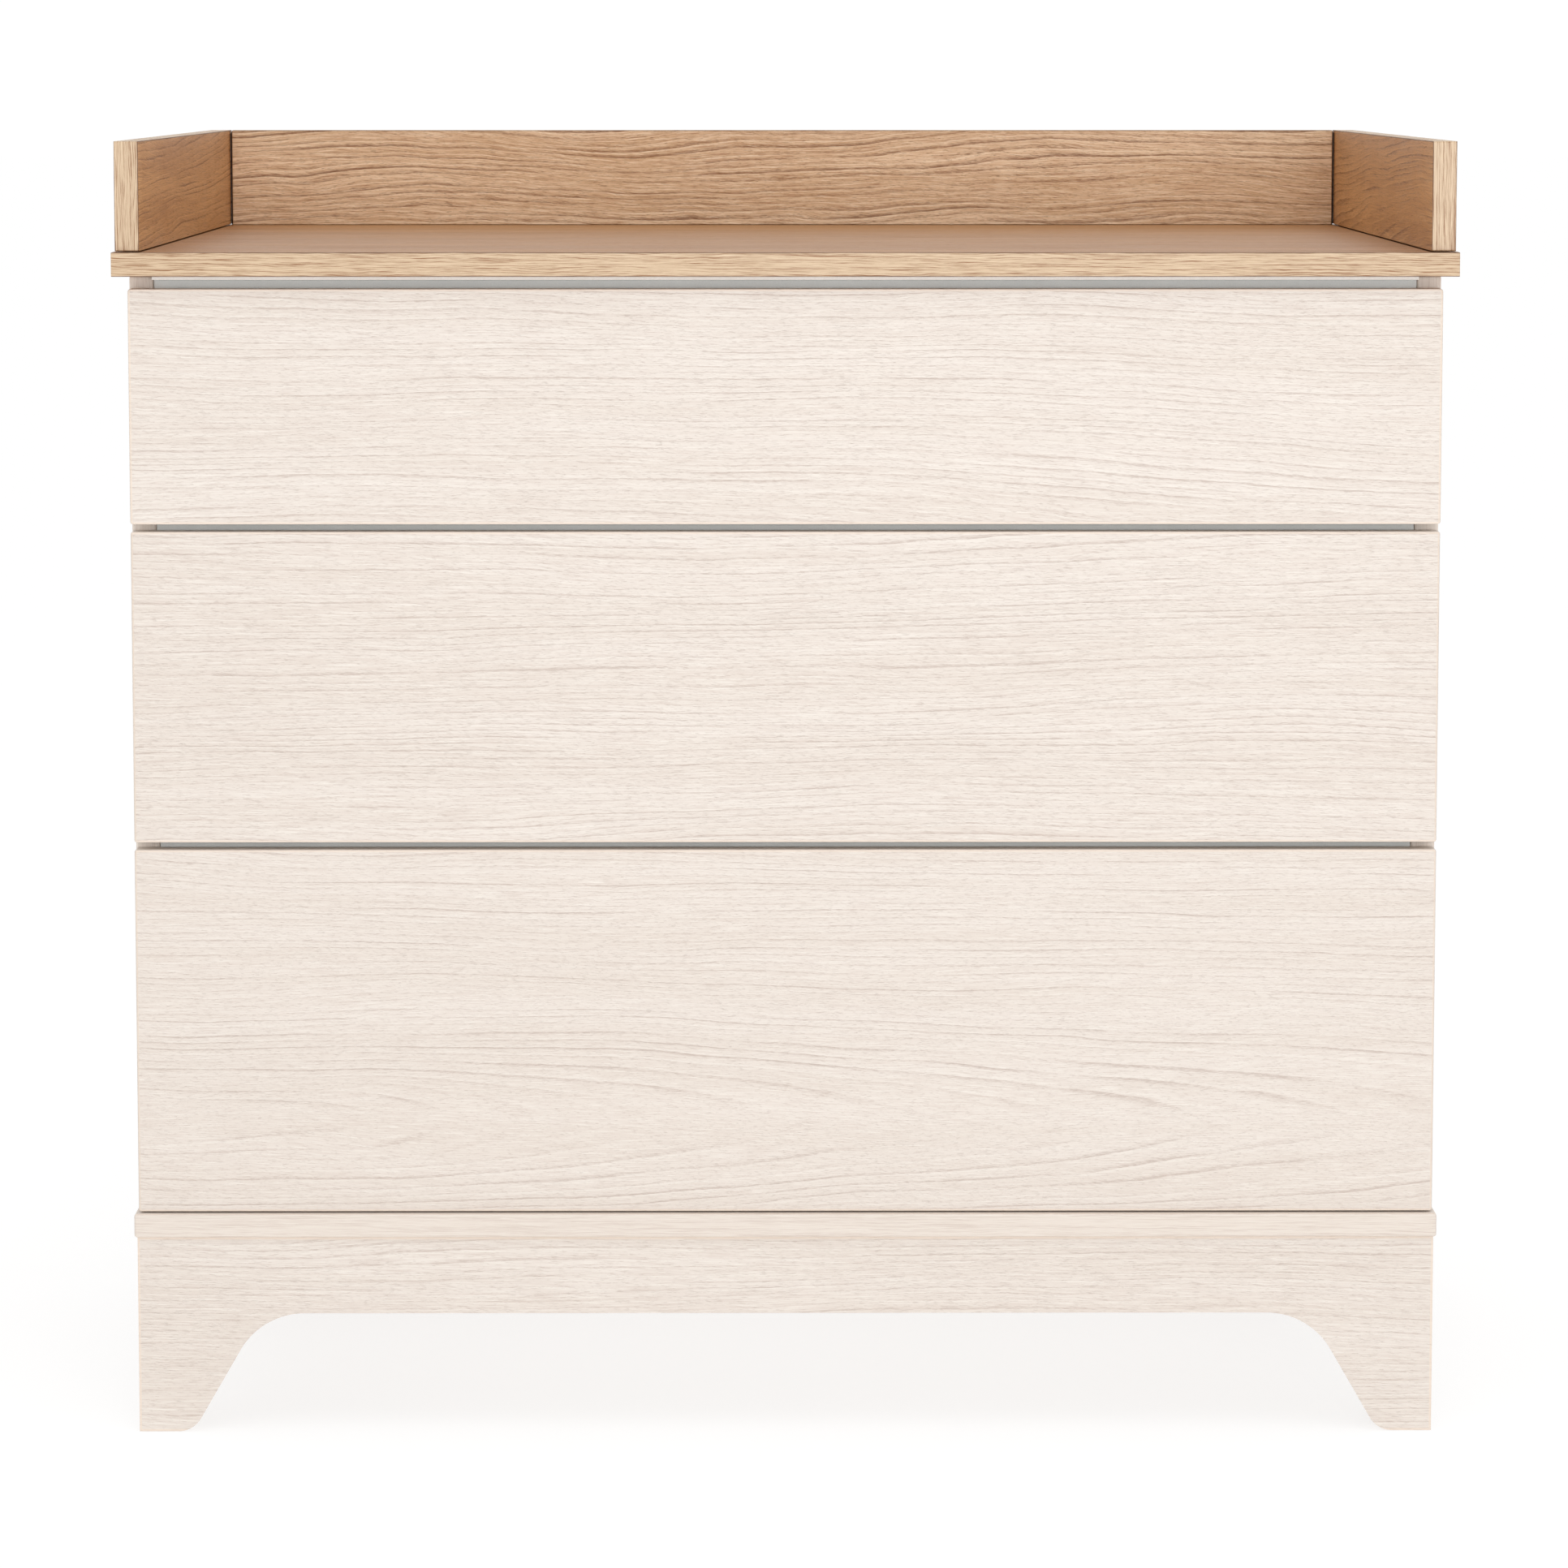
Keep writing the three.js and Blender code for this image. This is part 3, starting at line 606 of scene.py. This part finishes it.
def screw_brackets():
    bm = bmesh.new()
    for side in SIDES:
        low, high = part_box(f"wall_bracket_{side}")
        y, z = high[Y] - BRACKET_HOLE_SETBACK, high[Z] - BRACKET_SHEET
        for x in (low[X] + BRACKET_HOLE_INSET, high[X] - BRACKET_HOLE_INSET):
            add_screw(bm, (x, y, z), DOWN, radius=3.6, height=2.0)
    make_piece("bracket_screws", "carcass", "zinc_plated_steel", bm)


CAP_SETBACK = 34 * MM  # behind the drawer front
BUMPER_INSET = 16 * MM  # from the front's upper and lower edges
SLIDE_SCREWS = (37 * MM, 229 * MM, 421 * MM)  # from the slide's front end
SLIDE_SHEET = 1.2 * MM
LATCH_SCREW_INSETS = (30 * MM, 14 * MM)  # from the housing's front and rear


def fit_drawer_hardware(drawer):
    """Cam caps inside the box, bumpers behind the front, and the slides' screws."""
    caps, bumpers, screws, wall_screws = (bmesh.new() for _ in range(4))
    front_low, front_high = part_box(f"drawer_{drawer}_front")
    for side, sign in SIDES.items():
        low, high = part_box(f"drawer_{drawer}_side_{side}")
        inside = inner_edge(low, high, sign)[0]
        quarter = (high[Z] - low[Z]) / 4.0
        for z in (low[Z] + quarter, high[Z] - quarter):
            add_dome(caps, (inside, low[Y] + CAP_SETBACK, z), (-sign, 0, 0),
                     radius=8.0, height=1.2, segments=40)

        panel = middle(f"side_panel_{side}", X)
        for z in (front_low[Z] + BUMPER_INSET, front_high[Z] - BUMPER_INSET):
            add_dome(bumpers, (panel, front_high[Y], z), BACK, radius=4.0, height=1.7)

        # The drawer member's heads face the side panel, and the cabinet member's the drawer.
        low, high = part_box(f"slide_{drawer}_drawer_{side}")
        web = inner_edge(low, high, sign)[0] + sign * SLIDE_SHEET
        level = (low[Z] + high[Z]) / 2.0
        for along in SLIDE_SCREWS:
            add_screw(screws, (web, low[Y] + along, level), (sign, 0, 0))
        low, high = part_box(f"slide_{drawer}_cabinet_{side}")
        web = inner_edge(low, high, sign)[1] - sign * SLIDE_SHEET
        for along in SLIDE_SCREWS:
            add_screw(wall_screws, (web, low[Y] + along, level), (-sign, 0, 0), height=0.6)
    housing = f"latch_{drawer}_housing"
    low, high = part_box(housing)
    for y in (low[Y] + LATCH_SCREW_INSETS[0], high[Y] - LATCH_SCREW_INSETS[1]):
        add_screw(wall_screws, (middle(housing, X), y, low[Z]), DOWN, radius=2.8, height=1.5)
    body = f"drawer_{drawer}"
    make_piece(f"drawer_{drawer}_cam_caps", body, "white_plastic", caps)
    make_piece(f"drawer_{drawer}_bumpers", body, "white_plastic", bumpers)
    make_piece(f"drawer_{drawer}_slide_screws", body, "zinc_plated_steel", screws)
    make_piece(f"slide_{drawer}_wall_screws", "carcass", "zinc_plated_steel", wall_screws)


STRIP_ROUNDING = 0.3 * MM


def add_strip(bm, low, high):
    """A thin strip of sheet with rounded long edges, between two corners."""
    made = bmesh.ops.create_cube(bm, size=1.0)["verts"]
    size = [b - a for a, b in zip(low, high)]
    centre = Vector([(a + b) / 2.0 for a, b in zip(low, high)])
    for vert in made:
        vert.co = Vector([c * s for c, s in zip(vert.co, size)]) + centre
    edges = dict.fromkeys(edge for vert in made for edge in vert.link_edges)
    long_edges = [edge for edge in edges
                  if abs(edge.verts[0].co[Y] - edge.verts[1].co[Y]) > size[Y] / 2.0]
    bmesh.ops.bevel(bm, geom=long_edges, offset=STRIP_ROUNDING, segments=2, affect="EDGES")


BALL_RADIUS = 1.2  # mm
BALL_STEP = 11.5 * MM
BALL_RINGS = 6
CAGE_LENGTH = 225 * MM
CAGE_INSET = 10 * MM  # from the middle member's end
CAGE_HALF_WIDTH = 2.2 * MM
CAGE_HALF_SHEET = 0.4 * MM
CAGE_MARGIN = 5 * MM  # before the first ball and after the last


def ball_profile():
    profile = []
    for k in range(BALL_RINGS + 1):
        angle = math.pi * k / BALL_RINGS
        reach = BALL_RADIUS * math.sin(angle) if 0 < k < BALL_RINGS else 0.0
        profile.append((reach, -BALL_RADIUS * math.cos(angle)))
    return profile


def fit_ball_cages(drawer):
    """The rows of balls between the slides' members, each in a strip of sheet. The outer rows
    run in the cabinet member's back half and the inner rows in the middle member's front half,
    where the members still overlap with the drawer open."""
    bm = bmesh.new()
    ball = ball_profile()
    for side in SIDES:
        cabinet, mid, inner_member = (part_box(f"slide_{drawer}_{member}_{side}")
                                      for member in ("cabinet", "middle", "drawer"))
        x = (mid[0][X] + mid[1][X]) / 2.0
        rows = ((cabinet, mid, mid[1][Y] - CAGE_INSET - CAGE_LENGTH),
                (mid, inner_member, mid[0][Y] + CAGE_INSET))
        for outer, inner, start in rows:
            for edge, sheet in ((0, SLIDE_SHEET), (1, -SLIDE_SHEET)):
                z = (outer[edge][Z] + sheet + inner[edge][Z]) / 2.0
                add_strip(bm, (x - CAGE_HALF_WIDTH, start, z - CAGE_HALF_SHEET),
                          (x + CAGE_HALF_WIDTH, start + CAGE_LENGTH, z + CAGE_HALF_SHEET))
                end = start + CAGE_LENGTH - CAGE_MARGIN
                for y in spread(start + CAGE_MARGIN, end, BALL_STEP):
                    add_round(bm, (x, y, z), UP, ball, segments=10)
    make_piece(f"slide_{drawer}_ball_cages", f"slide_{drawer}_middles", "zinc_plated_steel", bm)


nail_back_panel()
screw_tray_walls()
screw_brackets()
for drawer in DRAWERS:
    fit_drawer_hardware(drawer)
    fit_ball_cages(drawer)


# ---------------------------------------------------------------- stage, light and camera
FLOOR_REACH = 60.0
FLOOR_DROP = 0.5 * MM  # the floor lies this far under the feet
FLOOR_GREY = 0.30
FLOOR_GLOW = 0.735


def add_stage():
    """A pale floor, part of whose brightness is its own, so that the shadows on it stay soft."""
    mesh = bpy.data.meshes.new("floor")
    reach = FLOOR_REACH
    corners = [(-reach, -reach, 0), (reach, -reach, 0), (reach, reach, 0), (-reach, reach, 0)]
    mesh.from_pydata(corners, [], [(0, 1, 2, 3)])
    floor = bpy.data.objects.new("floor", mesh)
    bpy.context.scene.collection.objects.link(floor)
    floor.location.z = -FLOOR_DROP
    material, g = new_material("floor_white")
    diffuse, glow, both = (g.node(f"ShaderNode{kind}") for kind in
                           ("BsdfDiffuse", "Emission", "AddShader"))
    diffuse.inputs["Color"].default_value = grey(FLOOR_GREY)
    glow.inputs["Strength"].default_value = FLOOR_GLOW
    g.tree.links.new(diffuse.outputs[0], both.inputs[0])
    g.tree.links.new(glow.outputs[0], both.inputs[1])
    output = g.node("ShaderNodeOutputMaterial")
    g.tree.links.new(both.outputs[0], output.inputs[0])
    mesh.materials.append(material)


STUDIO = dict(front=0.46, back=0.90, overhead=0.95, seen=1.02)


def add_world():
    """A white studio, softer overhead and behind. What the camera sees of it is plain white."""
    world = bpy.data.worlds.new("studio")
    bpy.context.scene.world = world
    world.use_nodes = True
    g = Graph(world.node_tree)
    direction = g.node("ShaderNodeTexCoord")
    _, ahead, up = g.parts(Val(g, direction.outputs["Generated"]))
    around = g.mix(g.smooth(ahead, -0.7, 0.7), grey(STUDIO["front"]), grey(STUDIO["back"]))
    light = g.mix(g.smooth(up, 0.1, 0.8), around, grey(STUDIO["overhead"]))
    seen = g.node("ShaderNodeLightPath")
    colour = g.mix(Val(g, seen.outputs["Is Camera Ray"]), light, grey(STUDIO["seen"]))
    back = g.node("ShaderNodeBackground")
    g.feed(back.inputs["Color"], colour)
    output = g.node("ShaderNodeOutputWorld")
    g.tree.links.new(back.outputs[0], output.inputs[0])


def add_light(name, place, aim, size, power):
    light = bpy.data.lights.new(name, "AREA")
    light.shape = "RECTANGLE"
    light.size, light.size_y = size
    light.energy = power
    lamp = bpy.data.objects.new(name, light)
    bpy.context.scene.collection.objects.link(lamp)
    lamp.location = place
    lamp.rotation_mode = "QUATERNION"
    lamp.rotation_quaternion = (Vector(aim) - Vector(place)).to_track_quat("-Z", "Y")


CAMERA_PLACE = (-0.0167, -4.489, 1.030)
CAMERA_PITCH = 5.93  # degrees below level
CAMERA_YAW = -0.2145
LENS = 127.4
SENSOR = 36.0
SHIFT = -0.09


def add_camera():
    data = bpy.data.cameras.new("camera")
    data.sensor_width = SENSOR
    data.lens = LENS
    data.shift_y = SHIFT
    data.clip_start, data.clip_end = 0.1, 200.0
    data.dof.use_dof = False
    camera = bpy.data.objects.new("camera", data)
    bpy.context.scene.collection.objects.link(camera)
    camera.location = CAMERA_PLACE
    camera.rotation_euler = (math.radians(90.0 - CAMERA_PITCH), 0.0, math.radians(CAMERA_YAW))
    bpy.context.scene.camera = camera


add_stage()
add_world()
add_light("front_softbox", place=(0.4, -4.6, 0.95), aim=(0.0, 0.0, 0.55), size=(2.0, 0.8),
          power=56.0)
add_light("top_softbox", place=(0.2, -1.7, 3.3), aim=(0.0, -0.3, 0.6), size=(2.4, 1.6),
          power=14.0)
add_camera()
bpy.context.scene.view_settings.view_transform = "Standard"
